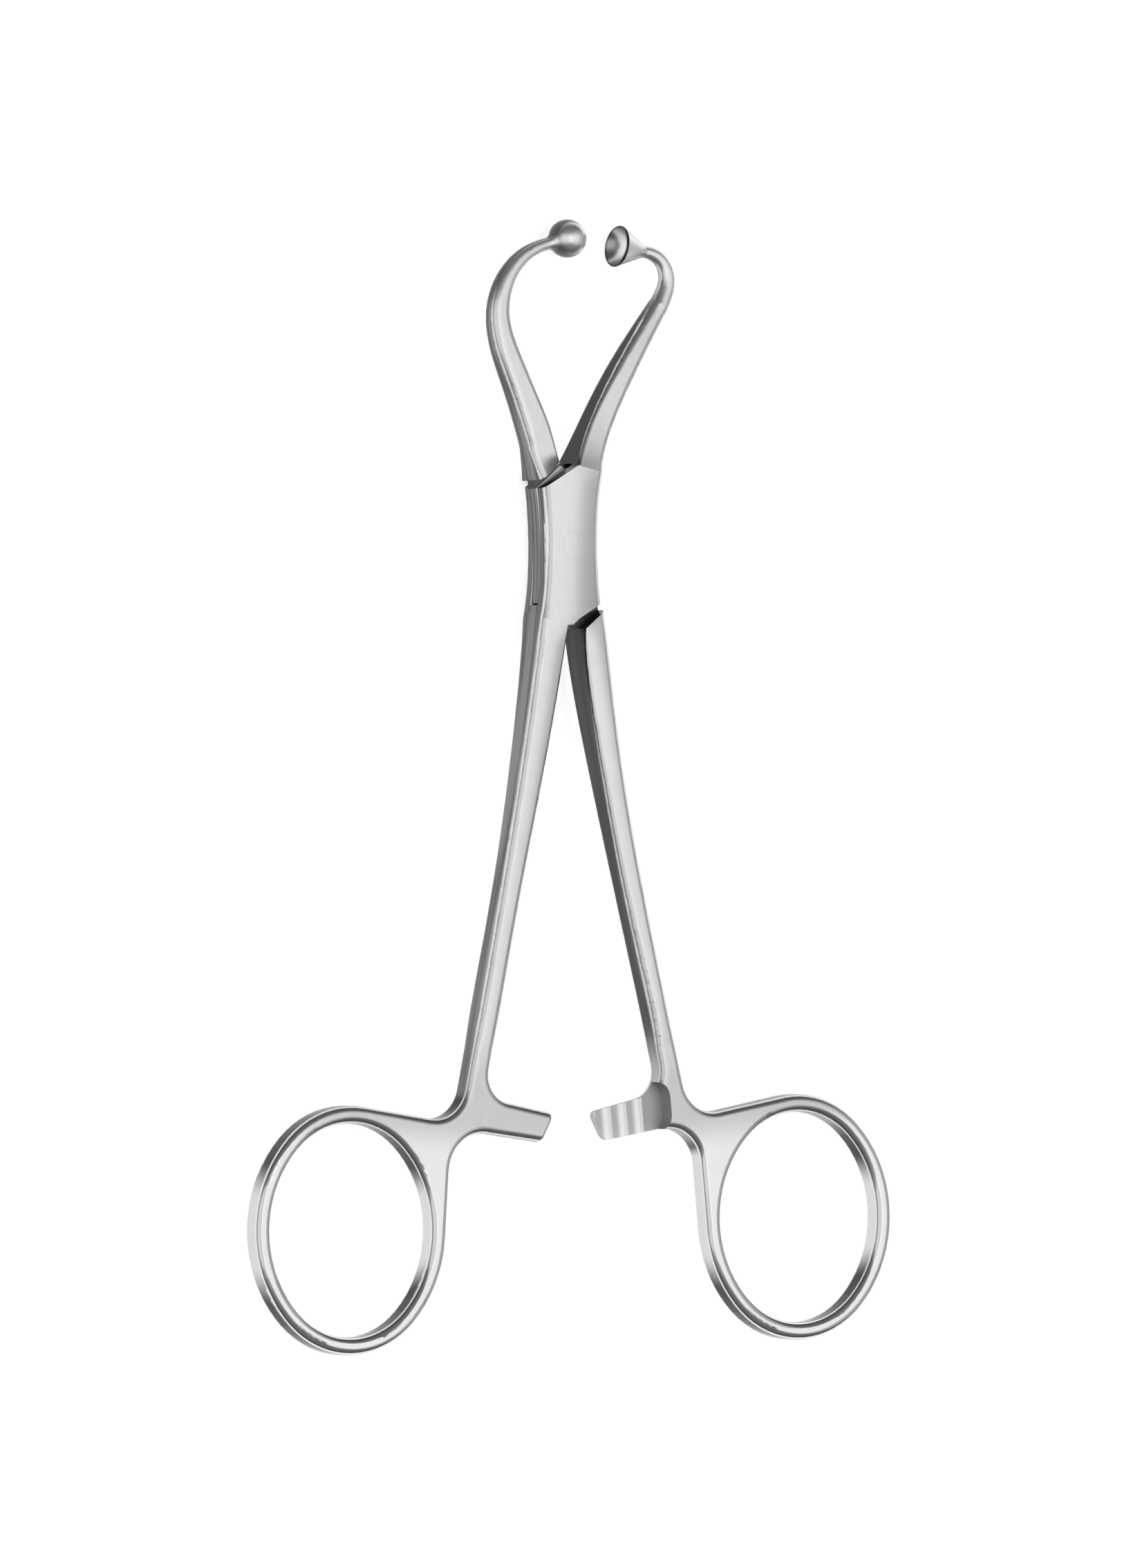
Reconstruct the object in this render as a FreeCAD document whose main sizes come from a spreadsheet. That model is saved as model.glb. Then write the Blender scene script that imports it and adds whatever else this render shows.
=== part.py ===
import FreeCAD, Part
import math
import os
from FreeCAD import Placement, Rotation, Vector

# Towel clamp with a ball and cup bite, a box lock and a ratchet, lying flat, jaws towards +Y.
# Each half is drawn in the closed clamp's plan, about the pivot axis and the clamp's middle plane,
# with its handle towards -X and its jaw towards +X. The tongue half is the mirror image of that,
# and both halves are then swung open about the pivot.

sizes = {
    # how far each half is turned from closed as the clamp lies
    "half_opening": 4.77,
    # box lock: the two leaves of one half hold the tongue of the other
    "lock_thickness": 4.8,
    "leaf_thickness": 1.6,
    "tongue_play": 0.03,
    "lock_waist_width": 6.7,
    "lock_waist_offset": 4.3,
    "lock_corner_radius": 55.0,
    "lock_edge_radius": 0.85,
    "lock_inner_radius": 0.3,
    "lock_slant": 33.5,
    "lock_root_tilt": 8.6,
    "leaf_edge_reach": 7.6,
    "shoulder_gap": 0.8,
    "mortise_reach": 7.85,
    "mortise_end_play": 0.25,
    # riveted pin
    "pin_diameter": 2.4,
    "pin_head_diameter": 3.1,
    "pin_head_depth": 0.4,
    "pin_press_gap": 0.01,
    "pin_running_gap": 0.03,
    # from the pivot down to the finger ring's center, and the hub's and arm's places above it
    "handle_reach": 79.5,
    "shank_rise": 21.5,
    "arm_rise": 14.9,
    # shank, from the lock down to the hub
    "shank_end_x": 7.6,
    "shank_root_heading": 3.0,
    "shank_end_heading": 8.0,
    "shank_upper_width": 3.45,
    "shank_upper_thickness": 4.2,
    "shank_middle_width": 2.85,
    "shank_middle_thickness": 3.2,
    "shank_lower_width": 2.65,
    # finger ring and hub
    "ring_center_x": 23.87,
    "ring_tilt": 4.3,
    "ring_outer_width": 25.5,
    "ring_outer_height": 28.2,
    "ring_band": 2.0,
    "ring_thickness": 3.0,
    "ring_edge_radius": 0.9,
    "hub_top_slope": 5.0,
    "hub_outer_radius": 4.2,
    "hub_inner_radius": 3.2,
    "hub_lower_radius": 4.4,
    # ratchet arm, which crosses the middle line when closed
    "arm_reach": 2.4,
    "arm_width": 3.45,
    "arm_top_slope": 7.5,
    "arm_bottom_slope": 4.0,
    "arm_tip_slant": 1.5,
    "arm_tip_radius": 0.45,
    "crest_gap": 0.05,
    "tooth_count": 3,
    "tooth_pitch": 2.15,
    "tooth_depth": 0.4,
    "tooth_land": 0.5,
    "tooth_drop": 0.15,
    "tooth_start_x": 4.4,
    "relief_end_x": 7.35,
    "relief_rise": 2.7,
    "relief_drop": 1.8,
    "relief_corner_radius": 2.0,
    "relief_exit_run": 2.6,
    # bite: the point where the ball's center lies in the cup when closed
    "bite_x": 4.1,
    "bite_y": 34.75,
    "bite_gap": 0.08,
    "ball_diameter": 4.4,
    "ball_neck_distance": 3.1,
    "ball_tilt": 8.0,
    "cup_diameter": 4.8,
    "cup_mouth_distance": 0.85,
    "cup_lip_radius": 0.18,
    "cup_length": 4.4,
    "cup_knee": 0.7,
    "cup_knee_radius": 2.2,
    "cup_tilt": 5.0,
    "neck_diameter": 1.3,
    "neck_cover": 0.03,
    "neck_overlap": 0.8,
    # cup arm: a slow curve out, a bow and a hook over to the cup
    "cup_root_heading": 15.0,
    "cup_bow_radius": 8.0,
    "cup_bow_heading": 31.0,
    "cup_hook_radius": 3.05,
    "cup_hook_heading": 14.0,
    # ball arm: a slow curve out and one long bow over to the ball
    "ball_root_heading": 2.0,
    "ball_bow_radius": 8.4,
    "ball_bow_heading": 13.0,
    # both jaw arms
    "jaw_lower_width": 3.3,
    "jaw_lower_thickness": 3.2,
    "jaw_middle_width": 2.8,
    "jaw_middle_thickness": 2.8,
    "jaw_upper_width": 2.3,
    "jaw_hook_width": 1.65,
    "jaw_roundness": 0.43,
}

os.makedirs("parts", exist_ok=True)
doc = FreeCAD.newDocument("towel_clamp")
sheet = doc.addObject("Spreadsheet::Sheet", "sizes")
for row, (name, value) in enumerate(sizes.items(), start=1):
    sheet.set(f"A{row}", name)
    sheet.set(f"B{row}", str(value))
    sheet.setAlias(f"B{row}", name)
doc.recompute()


def size(name):
    """A driving size, read from the sheet."""
    return float(sheet.get(name))


def cell(name):
    """The same size as an expression that a feature follows."""
    return f"<<sizes>>.{name}"


def heading(angle):
    """Unit vector in the plan by its angle in degrees, from +Y towards +X."""
    return Vector(math.sin(math.radians(angle)), math.cos(math.radians(angle)), 0)


def right_of(direction):
    return Vector(direction.y, -direction.x, 0)


half_lock = size("lock_thickness") / 2
half_waist = size("lock_waist_width") / 2
shoulder_reach = size("leaf_edge_reach") + size("shoulder_gap")
tongue_reach = size("mortise_reach") - size("mortise_end_play")
slant = heading(size("lock_slant"))
half_hub = size("ring_thickness") / 2
shank_end = Vector(-size("shank_end_x"), size("shank_rise") - size("handle_reach"), 0)
shank_end_direction = heading(180 + size("shank_end_heading"))
arm_top = size("arm_rise") - size("handle_reach")
arm_bottom = arm_top - size("arm_width")
ball_radius = size("ball_diameter") / 2
neck_radius = size("neck_diameter") / 2


def rounded_outline(corners):
    """Lines and tangent arcs round a closed list of (point, radius) corners."""
    ends = []
    for index, (point, radius) in enumerate(corners):
        if radius == 0:
            ends.append((point, point, point))
            continue
        before = (corners[index - 1][0] - point).normalize()
        after = (corners[(index + 1) % len(corners)][0] - point).normalize()
        half_angle = before.getAngle(after) / 2
        reach = radius / math.tan(half_angle)
        center = point + (before + after).normalize() * (radius / math.sin(half_angle))
        middle = center + (point - center).normalize() * radius
        ends.append((point + before * reach, middle, point + after * reach))
    edges = []
    for index, (first, middle, last) in enumerate(ends):
        if corners[index][1] > 0:
            edges.append(Part.Arc(first, middle, last))
        edges.append(Part.LineSegment(last, ends[(index + 1) % len(ends)][0]))
    return edges


class Half:
    """One forging as a body; side is 1, or -1 for the mirrored half."""

    def __init__(self, label, side):
        self.label = label
        self.side = side
        self.body = doc.addObject("PartDesign::Body", label)
        self.body.Label = label

    def at(self, point):
        return Vector(self.side * point.x, point.y, point.z)

    def sketch(self, name, role="XY_Plane", offset=Placement()):
        sketch = self.body.newObject("Sketcher::SketchObject", f"{self.label}_{name}")
        planes = [plane for plane in self.body.Origin.OriginFeatures if plane.Role == role]
        sketch.AttachmentSupport = [(planes[0], "")]
        sketch.MapMode = "FlatFace"
        sketch.AttachmentOffset = offset
        sketch.Visibility = False
        return sketch

    def outline(self, name, corners, height=0.0):
        """Sketch in the plan from (x, y, radius) corners, at a height."""
        sketch = self.sketch(name, offset=Placement(Vector(0, 0, height), Rotation()))
        points = [(self.at(Vector(x, y, 0)), radius) for x, y, radius in corners]
        sketch.addGeometry(rounded_outline(points), False)
        return sketch

    def feature(self, kind, name, sketch, length=None):
        """Pad, Pocket, Revolution or Groove of a sketch, with a length for the first two."""
        feature = self.body.newObject(f"PartDesign::{kind}", f"{self.label}_{name}")
        feature.Profile = sketch
        if length is not None:
            feature.setExpression("Length", length)
        return feature

    def symmetric(self, kind, name, sketch, length):
        feature = self.feature(kind, name, sketch, length)
        feature.SideType = "Symmetric"
        self.settle(kind, name)
        return feature

    def one_sided(self, kind, name, sketch, length, reverse):
        feature = self.feature(kind, name, sketch, length)
        feature.SideType = "One side"
        feature.Reversed = reverse
        self.settle(kind, name)
        return feature

    def turned(self, kind, name, sketch, axis):
        feature = self.feature(kind, name, sketch)
        feature.ReferenceAxis = (sketch, [axis])
        feature.Angle = 360
        self.settle(kind, name)
        return feature

    def settle(self, kind, name):
        """Recompute, and make sure that the newest feature really adds or removes material."""
        before = getattr(self, "volume", 0.0)
        doc.recompute()
        self.volume = self.body.Shape.Volume
        removes = kind in ("Pocket", "Groove")
        if (self.volume < before) != removes:
            raise ValueError(f"{self.label} {name}: volume {before:.3f} to {self.volume:.3f}")

    def join(self, other):
        """Fuse another body's finished shape to this one."""
        union = self.body.newObject("PartDesign::Boolean", f"{self.label}_join")
        union.setObjects([other.body])
        union.Type = "Fuse"
        self.settle("Boolean", other.label)

    def fillet(self, name, radius, wanted):
        """Round the edges of the body that the test picks."""
        base = self.body.Tip
        picked = [f"Edge{number}" for number, edge in enumerate(base.Shape.Edges, start=1)
                  if wanted(edge)]
        fillet = self.body.newObject("PartDesign::Fillet", f"{self.label}_{name}")
        fillet.Base = (base, picked)
        fillet.setExpression("Radius", radius)
        doc.recompute()
        self.volume = self.body.Shape.Volume

    def limb(self, name, stations):
        """Loft along a limb through (center, direction, width, thickness, outer, inner radius)."""
        sections = []
        for number, (center, direction, width, thickness, outer, inner) in enumerate(stations):
            across = self.at(right_of(direction))
            frame = Rotation(across, Vector(0, 0, 1), across.cross(Vector(0, 0, 1)), "ZXY")
            sketch = self.sketch(f"{name}_section_{number}", offset=Placement(self.at(center), frame))
            right = width / 2
            top = thickness / 2
            corners = [(Vector(right, top, 0), outer), (Vector(-right, top, 0), inner),
                       (Vector(-right, -top, 0), inner), (Vector(right, -top, 0), outer)]
            sketch.addGeometry(rounded_outline(corners), False)
            sections.append(sketch)
        doc.recompute()
        loft = self.body.newObject("PartDesign::AdditiveLoft", f"{self.label}_{name}")
        loft.Profile = sections[0]
        loft.Sections = sections[1:]
        self.settle("Loft", name)


def value_along(stations, share):
    """Value at a share of a limb's length, from (share, value) stations."""
    for (low, start), (high, end) in zip(stations, stations[1:]):
        if share <= high:
            return start + (end - start) * (share - low) / (high - low)
    return stations[-1][1]


def slow_curve(start, start_direction, end, end_direction, share):
    """Point and direction at a share of a smooth curve between two ends with set directions."""
    reach = (end - start).Length / 3
    first = start + start_direction * reach
    second = end - end_direction * reach
    rest = 1 - share
    point = (start * rest ** 3 + first * (3 * rest ** 2 * share)
             + second * (3 * rest * share ** 2) + end * share ** 3)
    slope = ((first - start) * rest ** 2 + (second - first) * (2 * rest * share)
             + (end - second) * share ** 2)
    return point, slope.normalize()


def on_bow(center, radius, angle):
    """Point and direction on an arc that bends over to the left, by its heading there."""
    direction = heading(angle)
    return center + right_of(direction) * radius, direction


# Where a limb's width and thickness are set, and where it is drawn, as shares of its length.
shank_upper_at, shank_middle_at, shank_lower_at = 0.12, 0.5, 0.8
jaw_lower_at, jaw_middle_at, jaw_upper_at, jaw_hook_at, jaw_neck_at = 0.13, 0.5, 0.72, 0.88, 0.98
roundness_at = 0.75
shank_stations = (0.1, 0.25, 0.45, 0.7, 1.0)
cup_arm_stations = (0.2, 0.45, 0.72, 1.0)
hook_stations = (0, 0.25, 0.5, 0.75, 1)
ball_arm_stations = (0.25, 0.5, 0.75, 1.0)
ball_bow_stations = (0.2, 0.4, 0.6, 0.8, 1)

# The lock's side flares up from its waist, towards the jaw, until it runs square to the jaw's root.
waist_point = Vector(half_waist, size("lock_waist_offset"), 0)
root_direction = heading(size("lock_root_tilt"))
crotch = Vector(0, size("leaf_edge_reach") / slant.y, 0)
flare_radius = (crotch - waist_point).dot(root_direction) / root_direction.x
flare_center = waist_point + Vector(flare_radius, 0, 0)
corner_center = waist_point + Vector(size("lock_corner_radius"), 0, 0)


def side_arc(center, start, end):
    """Start, middle and end of an arc along the lock's right hand side."""
    radius = center.x - waist_point.x
    return [start, center + ((start + end) * 0.5 - center).normalize() * radius, end]


def side_corner(center, normal, reach):
    """Where the side with this arc center meets the line at a reach from the pivot."""
    radius = center.x - waist_point.x
    past = reach - center.dot(normal)
    along = Vector(normal.y, -normal.x, 0)
    return center + normal * past - along * math.sqrt(radius ** 2 - past ** 2)


def lock_sketch(half, name, tip, upper, lower):
    """Outline of a lock layer: tip and upper corner, the side down to lower, and the same turned round."""
    sketch = half.sketch(name)
    run = [side_arc(flare_center, upper, waist_point), side_arc(corner_center, waist_point, lower)]
    for turn in (1, -1):
        for arc in run:
            sketch.addGeometry(Part.Arc(*[half.at(point * turn) for point in arc]), False)
        sketch.addGeometry(Part.LineSegment(half.at(tip * turn), half.at(upper * turn)), False)
        sketch.addGeometry(Part.LineSegment(half.at(lower * turn), half.at(tip * -turn)), False)
    return sketch


def limb_stations(root, path, widths, thicknesses, roundness):
    """Stations from the lock's root section along a path of points and directions.

    The edges' roundness, their radius as a share of the smaller side, grows evenly to its last value.
    """
    smaller = min(widths[0][1], thicknesses[0][1])
    outer = [(0, size("lock_edge_radius") / smaller), (roundness_at, roundness), (1, roundness)]
    inner = [(0, size("lock_inner_radius") / smaller), (roundness_at, roundness), (1, roundness)]
    places = [root] + path
    run = [0.0]
    for (before, _), (after, _) in zip(places, places[1:]):
        run.append(run[-1] + (after - before).Length)
    stations = []
    for (center, direction), distance in zip(places, run):
        share = distance / run[-1]
        width = value_along(widths, share)
        thickness = value_along(thicknesses, share)
        smaller = min(width, thickness)
        stations.append((center, direction, width, thickness,
                         smaller * value_along(outer, share), smaller * value_along(inner, share)))
    return stations


def add_shank(half, root, root_width, root_heading):
    """Shank from the lock down to the hub, deep at the lock and square with soft edges below."""
    start_direction = heading(180 + root_heading)
    path = [slow_curve(root[0], start_direction, shank_end, shank_end_direction, share)
            for share in shank_stations]
    widths = [(0, root_width), (shank_upper_at, size("shank_upper_width")),
              (shank_middle_at, size("shank_middle_width")),
              (shank_lower_at, size("shank_lower_width")), (1, size("shank_lower_width"))]
    thicknesses = [(0, size("lock_thickness")), (shank_upper_at, size("shank_upper_thickness")),
                   (shank_middle_at, size("shank_middle_thickness")), (1, size("ring_thickness"))]
    roundness = size("ring_edge_radius") / min(size("shank_lower_width"), size("ring_thickness"))
    half.limb("shank", limb_stations(root, path, widths, thicknesses, roundness))


def jaw_profile(root_width):
    """Widths, thicknesses and edge radii along a jaw arm, round from its middle to the neck."""
    end = size("neck_diameter") + size("neck_cover")
    round_part = [(jaw_upper_at, size("jaw_upper_width")), (jaw_hook_at, size("jaw_hook_width")),
                  (jaw_neck_at, end), (1, end)]
    widths = [(0, root_width), (jaw_lower_at, size("jaw_lower_width")),
              (jaw_middle_at, size("jaw_middle_width"))] + round_part
    thicknesses = [(0, size("lock_thickness")), (jaw_lower_at, size("jaw_lower_thickness")),
                   (jaw_middle_at, size("jaw_middle_thickness"))] + round_part
    return widths, thicknesses, size("jaw_roundness")


def meeting(point, direction, other, other_direction):
    """Crossing of two lines in the plan."""
    gap = other - point
    turn = direction.x * other_direction.y - direction.y * other_direction.x
    return point + direction * ((gap.x * other_direction.y - gap.y * other_direction.x) / turn)


# The ring is an oval of four arcs that meet on its diagonals, narrower ones at its ends.
ring_center = Vector(-size("ring_center_x"), -size("handle_reach"), 0)
ring_across = heading(90 - size("ring_tilt"))
ring_along = heading(-size("ring_tilt"))
half_ring_width = size("ring_outer_width") / 2
half_ring_height = size("ring_outer_height") / 2
oval_offset = (half_ring_height - half_ring_width) / (2 - math.sqrt(2))
side_radius = half_ring_width + oval_offset
end_radius = half_ring_height - oval_offset
right_center = ring_center - ring_across * oval_offset
top_center = ring_center + ring_along * oval_offset
right_top = (ring_across + ring_along).normalize()
right_bottom = (ring_across - ring_along).normalize()


def ring_run(half, inset, first, last):
    """Arcs of the oval, from the first outward direction on its right by its bottom to the last on top."""
    bottom_center = ring_center * 2 - top_center
    left_center = ring_center * 2 - right_center
    arcs = []
    for center, radius, start, end in ((right_center, side_radius, first, right_bottom),
                                       (bottom_center, end_radius, right_bottom, right_top * -1),
                                       (left_center, side_radius, right_top * -1, right_bottom * -1),
                                       (top_center, end_radius, right_bottom * -1, last)):
        middle = (start + end).normalize()
        arcs.append(Part.Arc(*[half.at(center + direction * (radius - inset))
                               for direction in (start, middle, end)]))
    return arcs


def add_ring_and_hub(half):
    """Finger ring, hub and ratchet arm in one outline, with rounded edges all round."""
    top_normal = heading(size("hub_top_slope"))
    top_direction = right_of(top_normal)
    ring_top = top_center + top_normal * end_radius
    ring_side = right_center + Vector(side_radius, 0, 0)
    reach_out = right_of(shank_end_direction) * (size("shank_lower_width") / 2)
    shank_outer = shank_end + reach_out
    shank_inner = shank_end - reach_out
    outer_corner = meeting(ring_top, top_direction, shank_outer, shank_end_direction)
    # the arm is drawn on past its tip, and cut off there once its edges are round
    tip_top = Vector(size("arm_reach"), arm_top, 0)
    tip_bottom = Vector(size("arm_reach") - size("arm_tip_slant"), arm_bottom, 0)
    arm_top_edge = heading(90 + size("arm_top_slope"))
    arm_bottom_edge = heading(90 + size("arm_bottom_slope"))
    inner_corner = meeting(shank_inner, shank_end_direction, tip_top, arm_top_edge)
    lower_corner = meeting(tip_bottom, arm_bottom_edge, ring_side, Vector(0, 1, 0))
    arm_excess = size("arm_reach")
    past_tip = size("arm_reach") + arm_excess * arm_top_edge.x
    corners = [(ring_top, 0), (outer_corner, size("hub_outer_radius")), (shank_outer, 0),
               (shank_inner, 0), (inner_corner, size("hub_inner_radius")),
               (tip_top + arm_top_edge * arm_excess, 0),
               (tip_bottom + arm_bottom_edge * arm_excess, 0),
               (lower_corner, size("hub_lower_radius")), (ring_side, 0)]
    outline = rounded_outline([(half.at(point), radius) for point, radius in corners])
    sketch = half.sketch("ring_and_hub_outline")
    # the last line would close the outline across the ring, where its arcs go instead
    sketch.addGeometry(outline[:-1] + ring_run(half, 0, Vector(1, 0, 0), top_normal), False)
    half.symmetric("Pad", "ring_and_hub", sketch, cell("ring_thickness"))
    opening = half.sketch("finger_opening_outline")
    opening.addGeometry(ring_run(half, size("ring_band"), right_top, right_top), False)
    half.symmetric("Pocket", "finger_opening", opening, cell("ring_thickness") + " * 2")

    def on_outline(edge):
        middle = edge.CenterOfMass
        from_shank = (middle - half.at(shank_end) - Vector(0, 0, middle.z)).Length
        before_tip = half.side * middle.x < size("arm_reach")
        on_face = abs(abs(middle.z) - half_hub) < 1e-4
        return on_face and before_tip and from_shank > size("shank_lower_width") / 4

    half.fillet("ring_edges", cell("ring_edge_radius"), on_outline)
    tip_run = (tip_top - tip_bottom) * 0.5
    middle_of_tip = (tip_top + tip_bottom) * 0.5
    upper = middle_of_tip + tip_run * 2
    lower = middle_of_tip - tip_run * 2
    cut = half.outline("arm_tip_outline", [(upper.x, upper.y, 0), (past_tip * 2, upper.y, 0),
                                           (past_tip * 2, lower.y, 0), (lower.x, lower.y, 0)])
    half.symmetric("Pocket", "arm_tip", cut, cell("ring_thickness") + " * 2")
    tip_normal = right_of(tip_run.normalize())

    def on_tip(edge):
        ends = [half.at(vertex.Point) - middle_of_tip for vertex in edge.Vertexes]
        return max(abs(end.dot(tip_normal)) for end in ends) < 0.01

    half.fillet("arm_tip_edges", cell("arm_tip_radius"), on_tip)


def add_ratchet(half, up):
    """Thin the arm to its own side of the middle plane and cut the teeth; up is 1 for the front arm."""
    crest = size("crest_gap")
    root = crest + size("tooth_depth")
    left = -size("relief_end_x")
    top = arm_top + size("relief_rise")
    past_tip = size("arm_reach") * 2
    below = arm_bottom - size("relief_rise")
    corner_radius = size("relief_corner_radius")
    hub_corners = [(left, top, corner_radius), (left, arm_top - size("relief_drop"), corner_radius)]
    relief_exit = (left + size("relief_exit_run"), below, 0)
    whole = half.outline("arm_face_outline", hub_corners + [relief_exit, (past_tip, below, 0),
                                                           (past_tip, top, 0)], up * crest)
    half.one_sided("Pocket", "arm_face", whole, cell("ring_thickness"), up < 0)
    start = -size("tooth_start_x")
    deep = half.outline("arm_relief_outline", hub_corners + [relief_exit, (start, below, 0),
                                                            (start, top, 0)], up * root)
    half.one_sided("Pocket", "arm_relief", deep, cell("ring_thickness"), up < 0)
    middle = (arm_top + arm_bottom) / 2
    teeth = half.sketch("tooth_gaps_outline", "XZ_Plane", Placement(Vector(0, 0, -middle), Rotation()))
    pitch = size("tooth_pitch")
    for number in range(int(size("tooth_count"))):
        land_end = start + number * pitch + size("tooth_land")
        next_tooth = start + (number + 1) * pitch
        gap = [(land_end, crest), (next_tooth - size("tooth_drop"), root), (next_tooth, crest),
               (next_tooth, -crest), (land_end, -crest)]
        points = [(Vector(half.side * x, up * z, 0), 0) for x, z in gap]
        teeth.addGeometry(rounded_outline(points), False)
    half.symmetric("Pocket", "tooth_gaps", teeth, cell("arm_width") + " * 2")


def add_cup(half, neck_direction):
    """Cup turned about its own axis: a round dish that the ball seats in, on a cone."""
    bite = Vector(size("bite_x"), size("bite_y"), 0)
    angle = math.degrees(math.atan2(neck_direction.y, half.side * neck_direction.x))
    sketch = half.sketch("cup_profile", offset=Placement(half.at(bite), Rotation(Vector(0, 0, 1), angle)))
    dish_bottom = Vector(ball_radius + size("bite_gap"), 0, 0)
    mouth = size("cup_mouth_distance")
    lip = size("cup_lip_radius")
    rim = size("cup_diameter") / 2
    neck = mouth + size("cup_length")
    lip_start = Vector(mouth, rim - lip, 0)
    dish_depth = dish_bottom.x - mouth
    dish_radius = (lip_start.y ** 2 + dish_depth ** 2) / (2 * dish_depth)
    dish_center = dish_bottom - Vector(dish_radius, 0, 0)
    chord_middle = (dish_bottom + lip_start) * 0.5
    dish_middle = dish_center + (chord_middle - dish_center).normalize() * dish_radius
    lip_middle = Vector(mouth + lip * (1 - math.sqrt(0.5)), rim - lip * (1 - math.sqrt(0.5)), 0)
    lip_end = Vector(mouth + lip, rim, 0)
    neck_edge = Vector(neck, neck_radius, 0)
    knee = Vector(neck - size("cup_knee"), neck_radius, 0)
    cone = rounded_outline([(lip_end, 0), (knee, size("cup_knee_radius")), (neck_edge, 0)])
    sketch.addGeometry([
        Part.Arc(dish_bottom, dish_middle, lip_start),
        Part.Arc(lip_start, lip_middle, lip_end),
    ] + cone[:3] + [
        Part.LineSegment(neck_edge, Vector(neck, 0, 0)),
        Part.LineSegment(Vector(neck, 0, 0), dish_bottom),
    ], False)
    half.turned("Revolution", "cup", sketch, "H_Axis")


def add_ball(half, neck_direction):
    """Ball with a hollow curve down to its neck, turned about its own axis."""
    bite = Vector(-size("bite_x"), size("bite_y"), 0)
    angle = math.degrees(math.atan2(neck_direction.y, half.side * neck_direction.x))
    sketch = half.sketch("ball_profile", offset=Placement(half.at(bite), Rotation(Vector(0, 0, 1), angle)))
    neck = size("ball_neck_distance")
    hollow = ((neck ** 2 + neck_radius ** 2 - ball_radius ** 2) / (2 * (ball_radius - neck_radius)))
    hollow_center = Vector(neck, neck_radius + hollow, 0)
    touch = Vector(hollow_center).normalize() * ball_radius
    back = Vector(-ball_radius, 0, 0)
    crown = (touch * (1 / ball_radius) + Vector(-1, 0, 0)).normalize() * ball_radius
    to_touch = (touch - hollow_center).normalize()
    hollow_middle = hollow_center + (to_touch + Vector(0, -1, 0)).normalize() * hollow
    neck_edge = Vector(neck, neck_radius, 0)
    sketch.addGeometry([
        Part.Arc(back, crown, touch),
        Part.Arc(touch, hollow_middle, neck_edge),
        Part.LineSegment(neck_edge, Vector(neck, 0, 0)),
        Part.LineSegment(Vector(neck, 0, 0), back),
    ], False)
    half.turned("Revolution", "ball", sketch, "H_Axis")


def build_handle(label, side, root, root_width, root_heading):
    """Ring, hub, ratchet arm and shank of one half; the root is where the shank leaves the lock."""
    handle = Half(label, side)
    add_ring_and_hub(handle)
    add_shank(handle, root, root_width, root_heading)
    add_ratchet(handle, side)
    return handle


def pin_outline(gap):
    """Half section of the pin, or with a gap of the hole that it fills."""
    shaft = size("pin_diameter") / 2 + gap
    head = size("pin_head_diameter") / 2 + gap
    depth = size("pin_head_depth")
    points = [Vector(0, -half_lock, 0), Vector(head, -half_lock, 0), Vector(shaft, depth - half_lock, 0),
              Vector(shaft, half_lock - depth, 0), Vector(head, half_lock, 0), Vector(0, half_lock, 0)]
    return rounded_outline([(point, 0) for point in points])


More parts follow.
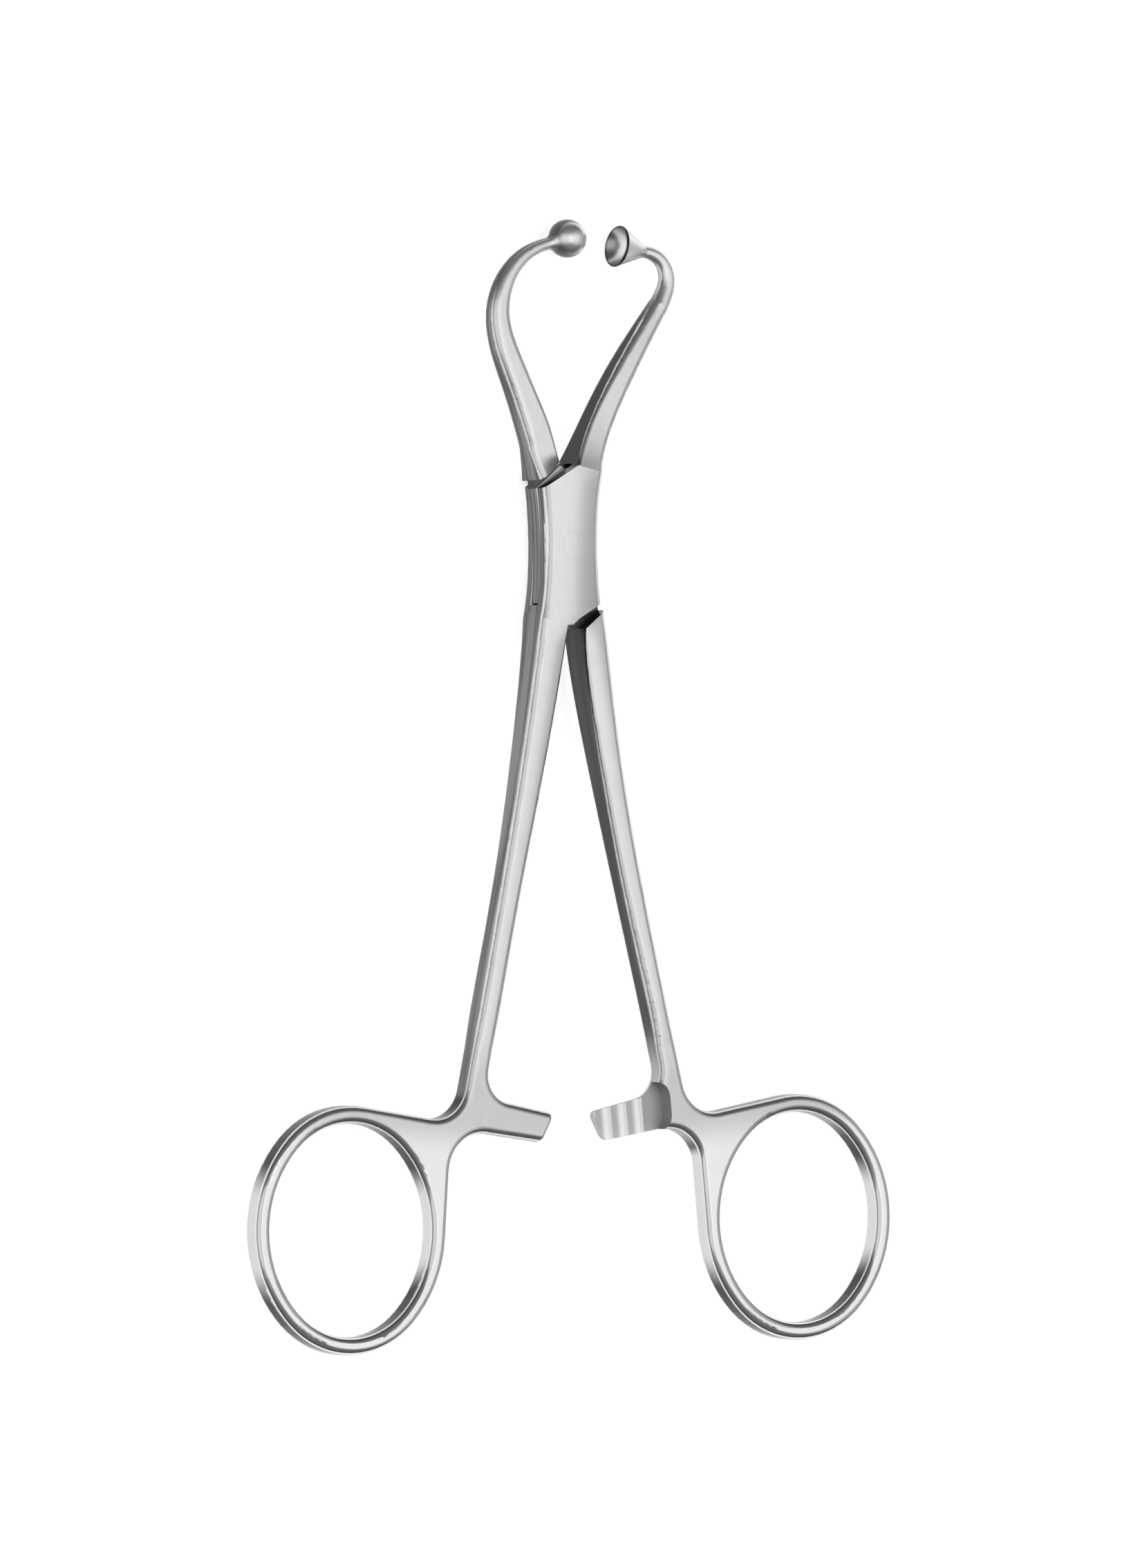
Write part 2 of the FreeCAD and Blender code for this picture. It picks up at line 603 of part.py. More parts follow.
def build_box_half():
    half = Half("box_half", 1)
    # leaves: the tip of the leaf edge is the crotch under the jaw
    leaf_normal = Vector(-slant.x, slant.y, 0)
    root_corner = flare_center - right_of(root_direction) * flare_radius
    lower = side_corner(corner_center, leaf_normal, -size("leaf_edge_reach"))
    sketch = lock_sketch(half, "lock_outline", crotch, root_corner, lower)
    half.symmetric("Pad", "lock", sketch, cell("lock_thickness"))

    def on_side(edge):
        middle = edge.CenterOfMass
        flat = edge.BoundBox.ZLength < 1e-4
        return flat and abs(middle.x) > half_waist * 0.95 and abs(middle.y) < crotch.y

    half.fillet("lock_edges", cell("lock_edge_radius"), on_side)
    root_center = (crotch + root_corner) * 0.5
    root_width = (root_corner - crotch).Length

    # jaw arm: hook and bow are laid out back from the cup
    neck_direction = heading(90 + size("cup_tilt"))
    bite = Vector(size("bite_x"), size("bite_y"), 0)
    neck = bite + neck_direction * (size("cup_mouth_distance") + size("cup_length"))
    hook_end = size("cup_tilt") - 90
    hook_center = neck - right_of(heading(hook_end)) * size("cup_hook_radius")
    hook_start, _ = on_bow(hook_center, size("cup_hook_radius"), size("cup_hook_heading"))
    bow_center = hook_start - right_of(heading(size("cup_hook_heading"))) * size("cup_bow_radius")
    bow_start, bow_direction = on_bow(bow_center, size("cup_bow_radius"), size("cup_bow_heading"))
    path = [slow_curve(root_center, heading(size("cup_root_heading")), bow_start, bow_direction, share)
            for share in cup_arm_stations]
    bow_middle = (size("cup_bow_heading") + size("cup_hook_heading")) / 2
    path.append(on_bow(bow_center, size("cup_bow_radius"), bow_middle))
    hook_turn = size("cup_hook_heading") - hook_end
    for share in hook_stations:
        path.append(on_bow(hook_center, size("cup_hook_radius"),
                           size("cup_hook_heading") - hook_turn * share))
    path.append((neck - neck_direction * size("neck_overlap"), neck_direction * -1))
    stations = limb_stations((root_center, root_direction), path, *jaw_profile(root_width))
    bow_station = len(cup_arm_stations)
    half.limb("jaw", stations[:bow_station + 1])
    half.limb("hook", stations[bow_station:])
    add_cup(half, neck_direction)
    half.join(build_handle("box_handle", 1, (root_center * -1, root_direction * -1), root_width,
                           size("shank_root_heading")))

    # mortise between the leaves, its ends parallel to the tongue's
    far = size("lock_waist_width")
    ends = []
    for x in (-far, far):
        ends.append((x, (size("mortise_reach") - slant.x * x) / slant.y))
    corners = [(x, y, 0) for x, y in ends] + [(-x, -y, 0) for x, y in ends]
    mortise = half.outline("mortise_outline", corners)
    half.symmetric("Pocket", "mortise", mortise,
                   cell("lock_thickness") + " - 2 * " + cell("leaf_thickness"))
    hole = half.sketch("pin_hole_profile", "XZ_Plane")
    hole.addGeometry(pin_outline(size("pin_press_gap")), False)
    half.turned("Groove", "pin_hole", hole, "V_Axis")
    return half


def build_tongue_half():
    half = Half("tongue_half", -1)
    # tongue: its tips are where the shoulders meet its slanted ends
    end_normal = Vector(-slant.x, slant.y, 0)
    tip = Vector((shoulder_reach - tongue_reach) / (2 * slant.x),
                 (shoulder_reach + tongue_reach) / (2 * slant.y), 0)
    shoulder_corner = side_corner(flare_center, slant, shoulder_reach)
    lower = side_corner(corner_center, end_normal, -tongue_reach)
    sketch = lock_sketch(half, "tongue_outline", tip, shoulder_corner, lower)
    half.symmetric("Pad", "tongue", sketch,
                   cell("lock_thickness") + " - 2 * (" + cell("leaf_thickness") + " + "
                   + cell("tongue_play") + ")")
    root_center = (tip + shoulder_corner) * 0.5
    root_width = (shoulder_corner - tip).Length

    neck_direction = heading(90 + size("ball_tilt"))
    bite = Vector(-size("bite_x"), size("bite_y"), 0)
    neck = bite + neck_direction * size("ball_neck_distance")
    bow_end = size("ball_tilt") - 90
    bow_center = neck - right_of(heading(bow_end)) * size("ball_bow_radius")
    bow_start, bow_direction = on_bow(bow_center, size("ball_bow_radius"), size("ball_bow_heading"))
    path = [slow_curve(root_center, heading(size("ball_root_heading")), bow_start, bow_direction, share)
            for share in ball_arm_stations]
    bow_turn = size("ball_bow_heading") - bow_end
    for share in ball_bow_stations:
        path.append(on_bow(bow_center, size("ball_bow_radius"),
                           size("ball_bow_heading") - bow_turn * share))
    path.append((neck - neck_direction * size("neck_overlap"), neck_direction * -1))
    half.limb("jaw", limb_stations((root_center, slant), path, *jaw_profile(root_width)))
    add_ball(half, neck_direction)
    half.join(build_handle("tongue_handle", -1, (root_center * -1, slant * -1), root_width,
                           size("shank_root_heading") / 2))
    bore = half.sketch("pin_bore_outline")
    bore.addGeometry(Part.Circle(Vector(0, 0, 0), Vector(0, 0, 1),
                                 size("pin_diameter") / 2 + size("pin_running_gap")), False)
    half.symmetric("Pocket", "pin_bore", bore, cell("lock_thickness"))
    return half


def build_pivot_pin():
    half = Half("pivot_pin", 1)
    sketch = half.sketch("profile", "XZ_Plane")
    sketch.addGeometry(pin_outline(0), False)
    half.turned("Revolution", "shaft", sketch, "V_Axis")
    return half


pieces = [build_box_half(), build_tongue_half(), build_pivot_pin()]
for piece, turn in zip(pieces, (-1, 1, 0)):
    swing = Rotation(Vector(0, 0, 1), turn * size("half_opening"))
    piece.body.Placement = Placement(Vector(0, 0, half_lock), swing)
doc.recompute()

for item in doc.Objects:
    if "Invalid" in item.State or "Error" in item.State:
        raise ValueError(f"{item.Name} is {item.State}")
for piece in pieces:
    shape = piece.body.Shape
    if shape.isNull() or not shape.isValid() or len(shape.Solids) != 1:
        raise ValueError(f"{piece.label} is not one valid solid")
for piece in pieces:
    shape = piece.body.Shape
    shape.exportStep(f"parts/{piece.label}.step")
    print(piece.label, f"volume {shape.Volume:.1f} mm3, faces {len(shape.Faces)}")
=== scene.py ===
import math
import bmesh
import bpy
from mathutils import Matrix, Vector

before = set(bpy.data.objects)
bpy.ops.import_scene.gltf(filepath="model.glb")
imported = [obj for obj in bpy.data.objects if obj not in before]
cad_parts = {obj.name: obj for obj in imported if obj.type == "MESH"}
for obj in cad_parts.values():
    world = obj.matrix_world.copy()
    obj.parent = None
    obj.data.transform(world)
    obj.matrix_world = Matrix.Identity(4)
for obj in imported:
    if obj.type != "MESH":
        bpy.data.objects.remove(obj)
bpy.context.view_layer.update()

MM = 0.001


def grey(value, warmth=0.0):
    """A grey, turned a little warm by its warmth."""
    return (value * (1 + warmth), value, value * (1 - warmth), 1)


# The photograph looks down on the clamp from its left, with a long lens.
PHOTO_WIDTH, PHOTO_HEIGHT = 1636, 2268
PIXELS_PER_MM = 12.70
PIVOT_PIXEL = (814, 789)
CAMERA_TILT = math.radians(33)
CAMERA_ROLL = math.radians(0.8)
LENS, SENSOR = 400, 36
NEAR_CLIP, FAR_CLIP = 0.01, 20

# The clamp lies flat, with its pivot over the origin and its jaws towards +Y.
HALF_OPENING_DEGREES = 4.77
MIDDLE_PLANE = 2.4 * MM
HALF_TONGUE = 0.8 * MM
CUP_SEAT = (6.975 * MM, 34.289 * MM)
CUP_AXIS = (-0.9855, 0.1697)

# Zones along a half as it lies when closed, each from where it starts to where it is full.
LOCK_ZONE = (14 * MM, 6 * MM)
LIMB_ZONE = (8 * MM, 10 * MM)
BELOW_PIVOT = (2 * MM, -2 * MM)
SHANK_FROM, SHANK_TO = (-6 * MM, -12 * MM), (-62 * MM, -55 * MM)
HUB_ZONE = (-55 * MM, -63 * MM)
RATCHET_ZONE = (-60 * MM, -61 * MM)
RING_ZONE = (-66 * MM, -71 * MM)
TIP_ZONE = (26 * MM, 31 * MM)

# How far a surface looks one way, from where its tone starts to where it is full.
FLAT_FACE = (0.90, 0.99)
FRONT_ROUND, BACK_ROUND = (0.12, 0.50), (-0.75, -0.97)
INNER_SIDE = (0.1, 0.6)
END_SIDE = (0.25, 0.55)
TIP_FRONT_ROUND, TIP_UNDERSIDE = (0.42, 0.78), (-0.5, 0.1)
TIP_INNER_SIDE, TIP_END_SIDE = (-0.8, 0.2), (0.45, 0.85)
CUP_MOUTH = (0.1, 0.3)
MILLED_FACE = (0.5, 0.8)

# Tones of the broad faces and the teeth, with painted light on the tips and the crests and painted shade
# in the roots.
SATIN_DARK, SATIN_LIGHT = grey(0.69, 0.004), grey(0.73, 0.002)
HUB_FACE = grey(0.61, 0.003)
TIP_FACE_LIGHT = grey(0.86, 0.002)
TOOTH_CREST_LIGHT, TOOTH_ROOT_SHADE = grey(0.85), grey(0.60)

# Tones of the sides, the tips' sides and the cup, all painted shade and light; of the seams; and painted
# shade in the gaps.
SIDE_SHADE_DARK, SIDE_SHADE_LIGHT = grey(0.11, 0.006), grey(0.22, 0.004)
EDGE_SHADE = grey(0.05)
INNER_LIMB_SHADE = grey(0.04)
INNER_HUB_LIGHT = grey(0.40)
RING_SIDE_LIGHT = grey(0.60)
END_SHADE = grey(0.015)
TIP_OUTER_SHADE, TIP_INNER_LIGHT = grey(0.08), grey(0.50)
TIP_UNDER_SHADE, TIP_END_SHADE = grey(0.09), grey(0.08)
DISH_MIDDLE_LIGHT, DISH_EDGE_SHADE = grey(0.85), grey(0.45)
CUP_RIM_SHADE = grey(0.03)
SEAM_SHADE, GAP_SHADE = grey(0.02), grey(0.04)

# Where the sides' shade by the broad faces starts and is full, up or down from the middle plane.
NEAR_FACE = (0.8 * MM, 2.0 * MM)

# The seams' half width and end, and the painted shade in the gaps by distance from the pivot square to
# the leaf's slant.
SEAM_WIDTH, SEAM_END = (0.09 * MM, 0.04 * MM), (7.9 * MM, 7.8 * MM)
LEAF_SLANT = math.radians(33.5)
GAP_FROM, GAP_TO = (7.5 * MM, 7.62 * MM), (8.5 * MM, 8.38 * MM)
GAP_SUNK = (2.38 * MM, 2.2 * MM)
GAP_CORNERS = (6 * MM * MM, 1 * MM * MM)

# The cup's painted dish shading and painted rim shade, by distance outward of the bite's centre and from
# the cup's axis.
DISH_DEPTH, DISH_WIDTH = (-2.5 * MM, -2.35 * MM), (2.6 * MM, 2.5 * MM)
DISH_SHADING = (0.4 * MM, 2.0 * MM)
RIM_DEPTH, RIM_WIDTH = (-1.25 * MM, -1.05 * MM), (2.1 * MM, 2.22 * MM)

# The ratchet, by distance from the middle plane, positive on the side it looks to.
MILLED_DEPTH, TOOTH_ROOT_DEPTH = (0.02 * MM, -0.02 * MM), (-0.12 * MM, -0.3 * MM)

# Roughness: of a polished side, what each finish adds to it, and how far the noises vary it.
POLISHED = 0.23
SATIN_ADDS = 0.10
RING_ADDS = -0.11
TIP_ADDS = 0.09
MILLED_ADDS, TOOTH_ROOT_ADDS = 0.12, 0.14
GRAIN_VARIES, CLOUD_VARIES, RUB_VARIES = 0.10, 0.06, 0.03
RING_LOSES_SATIN = 0.85

# Relief: the depth of the grain, and the crowns' height per squared distance from the middle line.
GRAIN_DEPTH = 0.0012 * MM
GRAIN_ON_SIDES = 0.15
LOCK_CROWN, SHANK_CROWN = -42.0, -65.0

# A shank's middle line: where it starts, how far aside, and its slope and bend from there.
SHANK_START, SHANK_ASIDE = -8.8 * MM, 1.75 * MM
SHANK_SLOPE, SHANK_BEND = 0.085, 0.7
HAIR = 0.01 * MM

# The noises' middle, and the spans over which the cloud and the painted reflection streaks change the
# tone.
NOISE_MIDDLE = 0.5
CLOUD_SPAN, REFLECTION_STREAK_SPAN = (0.3, 0.7), (0.35, 0.65)


def add_camera():
    """Camera square to the photograph's view, framed by the pivot's place in it."""
    back = Vector((-math.sin(CAMERA_TILT), 0, math.cos(CAMERA_TILT)))
    level = Vector((math.cos(CAMERA_TILT), 0, math.sin(CAMERA_TILT)))
    upright = Vector((0, 1, 0))
    right = level * math.cos(CAMERA_ROLL) - upright * math.sin(CAMERA_ROLL)
    up = level * math.sin(CAMERA_ROLL) + upright * math.cos(CAMERA_ROLL)
    aside = (PHOTO_WIDTH / 2 - PIVOT_PIXEL[0]) / PIXELS_PER_MM * MM
    below = (PHOTO_HEIGHT / 2 - PIVOT_PIXEL[1]) / PIXELS_PER_MM * MM
    target = Vector((0, 0, MIDDLE_PLANE)) + right * aside - up * below
    distance = PHOTO_HEIGHT / PIXELS_PER_MM * MM * LENS / SENSOR
    data = bpy.data.cameras.new("photo_camera")
    data.lens = LENS
    data.sensor_width = SENSOR
    data.clip_start = NEAR_CLIP
    data.clip_end = FAR_CLIP
    camera = bpy.data.objects.new("photo_camera", data)
    bpy.context.scene.collection.objects.link(camera)
    facing = Matrix((right, up, back)).transposed().to_4x4()
    camera.matrix_world = Matrix.Translation(target + back * distance) @ facing
    bpy.context.scene.camera = camera


class Socket:
    """A shader output, with the arithmetic that the finishes are written in."""

    def __init__(self, tree, link):
        self.tree = tree
        self.link = link

    def math(self, operation, *values):
        return add_node(self.tree, "ShaderNodeMath", {"operation": operation}, values)

    def __add__(self, other):
        return self.math("ADD", self, other)

    def __radd__(self, other):
        return self.math("ADD", other, self)

    def __sub__(self, other):
        return self.math("SUBTRACT", self, other)

    def __rsub__(self, other):
        return self.math("SUBTRACT", other, self)

    def __mul__(self, other):
        return self.math("MULTIPLY", self, other)

    def __rmul__(self, other):
        return self.math("MULTIPLY", other, self)

    def __abs__(self):
        return self.math("ABSOLUTE", self)

    def ramp(self, low, high, to_low=0.0, to_high=1.0):
        """Smooth step from to_low at low to to_high at high."""
        return add_node(self.tree, "ShaderNodeMapRange",
                        {"interpolation_type": "SMOOTHSTEP", "clamp": True},
                        Value=self, From_Min=low, From_Max=high, To_Min=to_low, To_Max=to_high)


def plug(tree, place, value):
    if isinstance(value, Socket):
        tree.links.new(value.link, place)
    else:
        place.default_value = value


def add_node(tree, kind, settings=(), first_inputs=(), outlet=0, **inputs):
    """A node of a kind, with its settings, and its inputs' values or links in order or by name."""
    node = tree.nodes.new(kind)
    for name, value in dict(settings).items():
        setattr(node, name, value)
    for place, value in zip(node.inputs, first_inputs):
        plug(tree, place, value)
    for name, value in inputs.items():
        plug(tree, node.inputs[name.replace("_", " ")], value)
    if node.outputs:
        return Socket(tree, node.outputs[outlet])


def split(vector):
    """The three parts of a vector."""
    first = add_node(vector.tree, "ShaderNodeSeparateXYZ", Vector=vector)
    return [Socket(vector.tree, outlet) for outlet in first.link.node.outputs]


def mix_colors(mask, first, second):
    """First where the mask is 0 and second where it is 1."""
    node = add_node(mask.tree, "ShaderNodeMix", {"data_type": "RGBA"}, (mask,)).link.node
    colors = [place for place in node.inputs if place.type == "RGBA"]
    for place, value in zip(colors, (first, second)):
        plug(mask.tree, place, value)
    return Socket(mask.tree, next(outlet for outlet in node.outputs if outlet.type == "RGBA"))


def lay(tone, mask, over, strength=1.0):
    """A tone with another one laid over it where the mask is, at up to a strength."""
    return mix_colors(mask if strength == 1.0 else mask * strength, tone, over)


def noise(place, detail, scale=1.0, stretch=None):
    """Noise at a scale per metre, or drawn out by its own scale along each axis."""
    if stretch:
        place = add_node(place.tree, "ShaderNodeMapping", Vector=place, Scale=stretch)
    return add_node(place.tree, "ShaderNodeTexNoise", Vector=place, Scale=scale, Detail=detail)


class Surface:
    """Where a point of the steel is, also with its half closed, which way it looks, and its noises."""

    def __init__(self, tree, swing):
        place = add_node(tree, "ShaderNodeTexCoord", outlet="Object")
        normal = add_node(tree, "ShaderNodeNewGeometry", outlet="Normal")
        self.across, self.along, height = split(place)
        self.sideways, self.endways, self.upward = split(normal)
        self.height = height - MIDDLE_PLANE
        turn = math.radians(swing)
        self.x = self.across * math.cos(turn) - self.along * math.sin(turn)
        self.y = self.across * math.sin(turn) + self.along * math.cos(turn)

        self.side = 1 if swing > 0 else -1
        self.inward = self.sideways * self.side * self.y.ramp(*BELOW_PIVOT, -1, 1)
        self.inner = self.inward.ramp(*INNER_SIDE)
        self.on_face = abs(self.upward).ramp(*FLAT_FACE)
        self.on_ring = self.y.ramp(*RING_ZONE)
        self.on_hub = self.y.ramp(*HUB_ZONE)
        self.on_tip = self.y.ramp(*TIP_ZONE)
        self.satin = self.on_face * (1 - self.on_ring * RING_LOSES_SATIN)

        self.grain = noise(place, detail=3.0, stretch=(2600, 420, 2600))
        self.cloud = noise(place, detail=4.0, scale=140.0)
        self.rub = noise(place, detail=2.0, scale=900.0)
        # Painted reflections: streaks drawn out along the pieces, for the sides' tone.
        self.streaks = noise(place, detail=2.0, stretch=(260, 22, 1500))


def roughness(spot):
    finish = POLISHED + spot.satin * SATIN_ADDS + spot.on_ring * RING_ADDS + spot.on_tip * TIP_ADDS
    grain = (spot.grain - NOISE_MIDDLE) * GRAIN_VARIES * spot.satin
    cloud = (spot.cloud - NOISE_MIDDLE) * CLOUD_VARIES
    rub = (spot.rub - NOISE_MIDDLE) * RUB_VARIES
    return finish + grain + cloud + rub


def face_tone(spot):
    """Broad faces: satin and duller on the hubs, with painted light that makes them lighter on the tips.
    """
    tone = mix_colors(spot.cloud.ramp(*CLOUD_SPAN), SATIN_DARK, SATIN_LIGHT)
    tone = lay(tone, spot.on_hub * (1 - spot.on_ring), HUB_FACE)
    # Painted light on the tips' broad faces.
    return lay(tone, spot.on_tip, TIP_FACE_LIGHT)


def tip_tone(spot):
    """Painted light and shade on the tips' sides: light where they look at the other jaw, shade outside,
    below and at the ends.
    """
    # Painted light and shade by which way the tip's side looks.
    tone = mix_colors(spot.inward.ramp(*TIP_INNER_SIDE), TIP_OUTER_SHADE, TIP_INNER_LIGHT)
    tone = mix_colors(spot.upward.ramp(*TIP_UNDERSIDE), TIP_UNDER_SHADE, tone)
    return lay(tone, abs(spot.endways).ramp(*TIP_END_SIDE), TIP_END_SHADE, strength=0.8)


def side_tone(spot):
    """Sides in painted shade with painted reflections streaked along, more painted shade by the broad
    faces, between the limbs and where they look endways, and painted light on the hubs' inner sides, the
    rings and the tips.
    """
    on_limb = abs(spot.y).ramp(*LIMB_ZONE) * (1 - spot.on_hub) * (1 - spot.on_tip)
    inner_hub = spot.inner * spot.on_hub
    at_end = abs(spot.endways).ramp(*END_SIDE) * (1 - spot.on_tip)
    at_end = at_end * (1 - inner_hub * (1 - spot.on_ring))
    # Painted shade on the sides, streaked with painted reflections.
    tone = mix_colors(spot.streaks.ramp(*REFLECTION_STREAK_SPAN), SIDE_SHADE_DARK, SIDE_SHADE_LIGHT)
    # Painted shade on the sides by the broad faces.
    tone = lay(tone, abs(spot.height).ramp(*NEAR_FACE), EDGE_SHADE, strength=0.6)
    # Painted shade on the limbs' inner sides, painted light on the hubs' inner sides and on the rings'
    # sides.
    tone = lay(tone, spot.inner * on_limb, INNER_LIMB_SHADE, strength=0.80)
    tone = lay(tone, inner_hub, INNER_HUB_LIGHT)
    tone = lay(tone, spot.on_ring, RING_SIDE_LIGHT)
    tone = lay(tone, spot.on_tip, tip_tone(spot))
    # Painted shade where the sides look endways.
    return lay(tone, at_end, END_SHADE, strength=0.97)


def add_seams(spot, tone):
    """Dark seams on the lock's sides, where the tongue lies between the leaves."""
    seam = abs(abs(spot.height) - HALF_TONGUE).ramp(*SEAM_WIDTH)
    seam = seam * abs(spot.y).ramp(*SEAM_END) * (1 - spot.on_face)
    return lay(tone, seam, SEAM_SHADE, strength=0.85)


def add_cup(spot, tone):
    """Painted light and shade in the cup's dish and painted shade on its rim, by the distance from its
    axis and from the bite's centre.
    """
    off_x, off_y = spot.across - CUP_SEAT[0], spot.along - CUP_SEAT[1]
    outward = off_x * CUP_AXIS[0] + off_y * CUP_AXIS[1]
    aside = off_y * CUP_AXIS[0] - off_x * CUP_AXIS[1]
    radius = aside.math("SQRT", aside * aside + spot.height * spot.height)
    facing = (spot.sideways * CUP_AXIS[0] + spot.endways * CUP_AXIS[1]).ramp(*CUP_MOUTH)
    in_dish = facing * outward.ramp(*DISH_DEPTH) * radius.ramp(*DISH_WIDTH)
    # Painted dish shading: light in the middle, shade towards the rim.
    dish = mix_colors(radius.ramp(*DISH_SHADING), DISH_MIDDLE_LIGHT, DISH_EDGE_SHADE)
    tone = lay(tone, in_dish * spot.on_tip, dish)
    # Painted shade around the cup's rim.
    rim = radius.ramp(*RIM_WIDTH) * outward.ramp(*RIM_DEPTH)
    return lay(tone, rim * spot.on_tip, CUP_RIM_SHADE, strength=0.95)


def add_shoulder_gaps(spot, tone):
    """Painted shade in the gap between each shoulder and the leaf's slanted end."""
    past_leaf = abs(spot.y * math.cos(LEAF_SLANT) - spot.x * math.sin(LEAF_SLANT))
    gap = past_leaf.ramp(*GAP_FROM) * past_leaf.ramp(*GAP_TO) * abs(spot.height).ramp(*GAP_SUNK)
    gap = gap * (spot.x * spot.y).ramp(*GAP_CORNERS)
    # Painted shade in the shoulder gaps.
    return lay(tone, gap, GAP_SHADE, strength=0.9)


def relief(spot):
    """Height of the grain, and of the slight crowns that shade the lock and the shanks across."""
    below = (SHANK_START - spot.y) * spot.y.ramp(SHANK_START, SHANK_START - HAIR)
    shank_center = SHANK_ASIDE + below * SHANK_SLOPE + below * below * SHANK_BEND
    lock_lean = spot.x * abs(spot.y).ramp(*LOCK_ZONE)
    on_shank = spot.y.ramp(*SHANK_FROM) * spot.y.ramp(*SHANK_TO)
    shank_lean = (spot.x * spot.side + shank_center) * on_shank
    crown = lock_lean * lock_lean * LOCK_CROWN + shank_lean * shank_lean * SHANK_CROWN
    return spot.grain * (GRAIN_ON_SIDES + spot.satin * (1 - GRAIN_ON_SIDES)) * GRAIN_DEPTH + crown


def mill_teeth(spot, milled_side, tone, rough):
    """Matt ratchet, with painted light on the crests and painted shade in the rougher roots."""
    from_middle = spot.height * milled_side
    milled = from_middle.ramp(*MILLED_DEPTH) * (spot.upward * milled_side).ramp(*MILLED_FACE)
    milled = milled * spot.y.ramp(*RATCHET_ZONE)
    root = from_middle.ramp(*TOOTH_ROOT_DEPTH)
    # Painted light on the teeth's crests and painted shade in their roots.
    tone = lay(tone, milled, mix_colors(root, TOOTH_CREST_LIGHT, TOOTH_ROOT_SHADE))
    return tone, rough + milled * (MILLED_ADDS + root * TOOTH_ROOT_ADDS)


def steel(name, swing, milled_side=0, cup=False):
    """Instrument steel, its tones set by the place on the piece and by where the surface looks, most of
    them painted light and shade.

    swing is how far the piece is turned from closed, positive where its jaw goes towards +X, and
    milled_side says which way its ratchet looks: 1 up, -1 down, 0 for none. cup marks the piece
    with the cup.
    """
    material = bpy.data.materials.new(name)
    material.use_nodes = True
    tree = material.node_tree
    tree.nodes.clear()
    spot = Surface(tree, swing)
    # Faces and rounds that look up or down keep the steel's tone; the rest takes the painted side shade.
    rounds = spot.upward.ramp(*FRONT_ROUND) * (1 - spot.on_tip)
    rounds = rounds + spot.upward.ramp(*TIP_FRONT_ROUND) * spot.on_tip
    tone = lay(side_tone(spot), rounds + spot.upward.ramp(*BACK_ROUND), face_tone(spot))
    tone = add_seams(spot, tone)
    if cup:
        tone = add_cup(spot, tone)
    tone = add_shoulder_gaps(spot, tone)
    rough = roughness(spot)
    if milled_side:
        tone, rough = mill_teeth(spot, milled_side, tone, rough)
    bump = add_node(tree, "ShaderNodeBump", Height=relief(spot), Strength=1.0, Distance=1.0)
    shader = add_node(tree, "ShaderNodeBsdfPrincipled", Metallic=1.0, Base_Color=tone,
                      Roughness=rough, Normal=bump)
    add_node(tree, "ShaderNodeOutputMaterial", Surface=shader)
    return material


def dress(node, material):
    """Give a CAD node its material, and let its large facets set the shading of the slivers."""
    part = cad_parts[node]
    part.data.materials.clear()
    part.data.materials.append(material)
    even = part.modifiers.new("even_normals", "WEIGHTED_NORMAL")
    even.mode = "FACE_AREA"
    even.keep_sharp = True


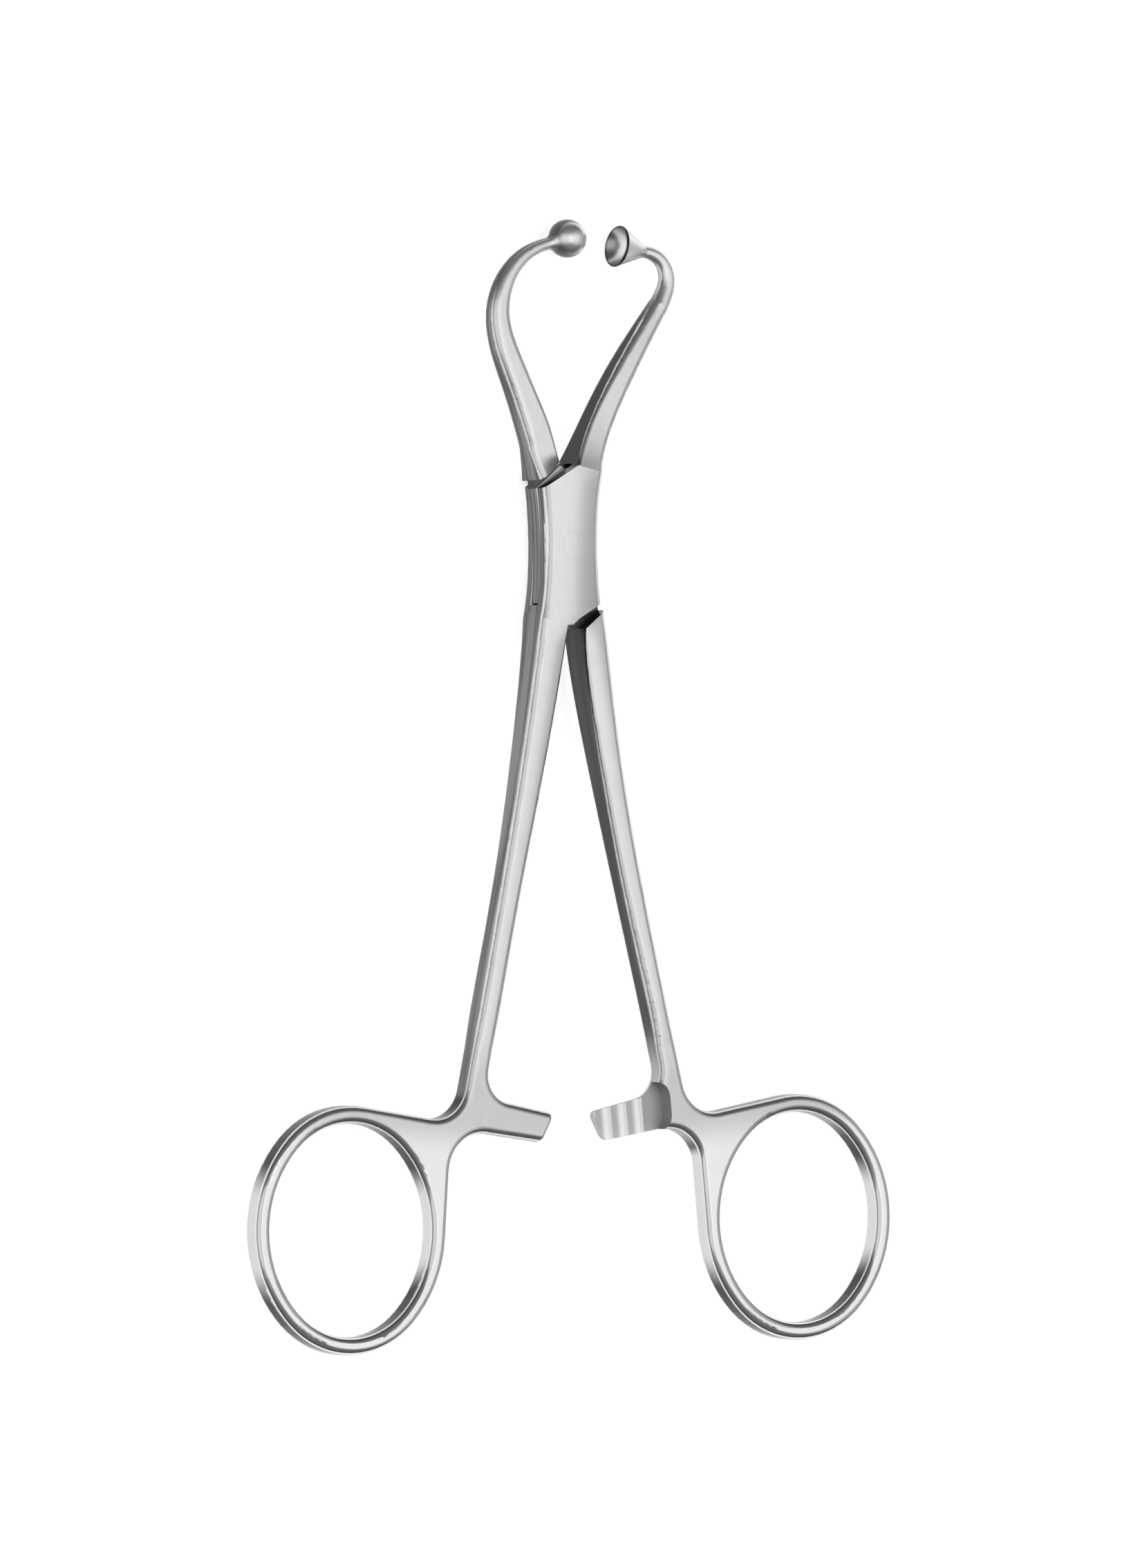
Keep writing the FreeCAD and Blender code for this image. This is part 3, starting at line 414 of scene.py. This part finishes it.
def add_floor():
    """Pale matt floor that also shows pale in the steel."""
    half_width, just_below, glow = 1.5, -0.05 * MM, 0.66
    bm = bmesh.new()
    bmesh.ops.create_grid(bm, x_segments=1, y_segments=1, size=half_width)
    mesh = bpy.data.meshes.new("floor")
    bm.to_mesh(mesh)
    bm.free()
    floor = bpy.data.objects.new("floor", mesh)
    bpy.context.scene.collection.objects.link(floor)
    mesh.transform(Matrix.Translation((0, 0, just_below)))
    material = bpy.data.materials.new("pale_floor")
    material.use_nodes = True
    tree = material.node_tree
    shader = tree.nodes["Principled BSDF"]
    shader.inputs["Base Color"].default_value = grey(0.93)
    shader.inputs["Roughness"].default_value = 0.9
    shader.inputs["Specular IOR Level"].default_value = 0.0
    shader.inputs["Emission Color"].default_value = grey(1.0)
    camera, glossy, through = [add_node(tree, "ShaderNodeLightPath", outlet=f"Is {kind} Ray")
                               for kind in ("Camera", "Glossy", "Transmission")]
    plug(tree, shader.inputs["Emission Strength"], (camera + glossy + through) * glow)
    mesh.materials.append(material)


def add_world():
    """Pale studio dome: brightest overhead, a third of that at the horizon, and dimmer at both ends."""
    world = bpy.data.worlds.new("studio")
    bpy.context.scene.world = world
    world.use_nodes = True
    tree = world.node_tree
    tree.nodes.clear()
    sideways, endways, rise = split(add_node(tree, "ShaderNodeTexCoord", outlet="Generated"))
    dome = rise.ramp(0.05, 0.75, to_low=0.16, to_high=0.48)
    side_walls = abs(sideways).ramp(0.55, 0.95) * 0.16
    end_walls = abs(endways).ramp(0.30, 0.62) * 0.6
    background = add_node(tree, "ShaderNodeBackground", Color=grey(1.0),
                          Strength=(dome + side_walls) * (1 - end_walls))
    add_node(tree, "ShaderNodeOutputWorld", Surface=background)


def add_softbox(name, azimuth, elevation, distance, wide, high, power):
    """Area lamp that looks at the clamp from a compass angle, from +Y towards +X, and a height."""
    a, e = math.radians(azimuth), math.radians(elevation)
    back = Vector((math.sin(a) * math.cos(e), math.cos(a) * math.cos(e), math.sin(e)))
    data = bpy.data.lights.new(name, "AREA")
    data.shape = "RECTANGLE"
    data.size = wide
    data.size_y = high
    data.energy = power
    lamp = bpy.data.objects.new(name, data)
    bpy.context.scene.collection.objects.link(lamp)
    clamp_middle = Vector((0, -27 * MM, 0))
    facing = back.to_track_quat("Z", "Y").to_matrix().to_4x4()
    lamp.matrix_world = Matrix.Translation(clamp_middle + back * distance) @ facing


add_camera()
add_floor()
add_world()
add_softbox("key_softbox", azimuth=90, elevation=79, distance=0.9, wide=0.75, high=1.0, power=1.6)
add_softbox("left_softbox", azimuth=-90, elevation=47, distance=0.9, wide=0.8, high=1.15, power=1.1)
dress("box_half", steel("box_half_steel", HALF_OPENING_DEGREES, -1, cup=True))
dress("tongue_half", steel("tongue_half_steel", -HALF_OPENING_DEGREES, 1))
dress("pivot_pin", steel("pivot_pin_steel", HALF_OPENING_DEGREES))

bpy.context.scene.view_settings.view_transform = "Standard"
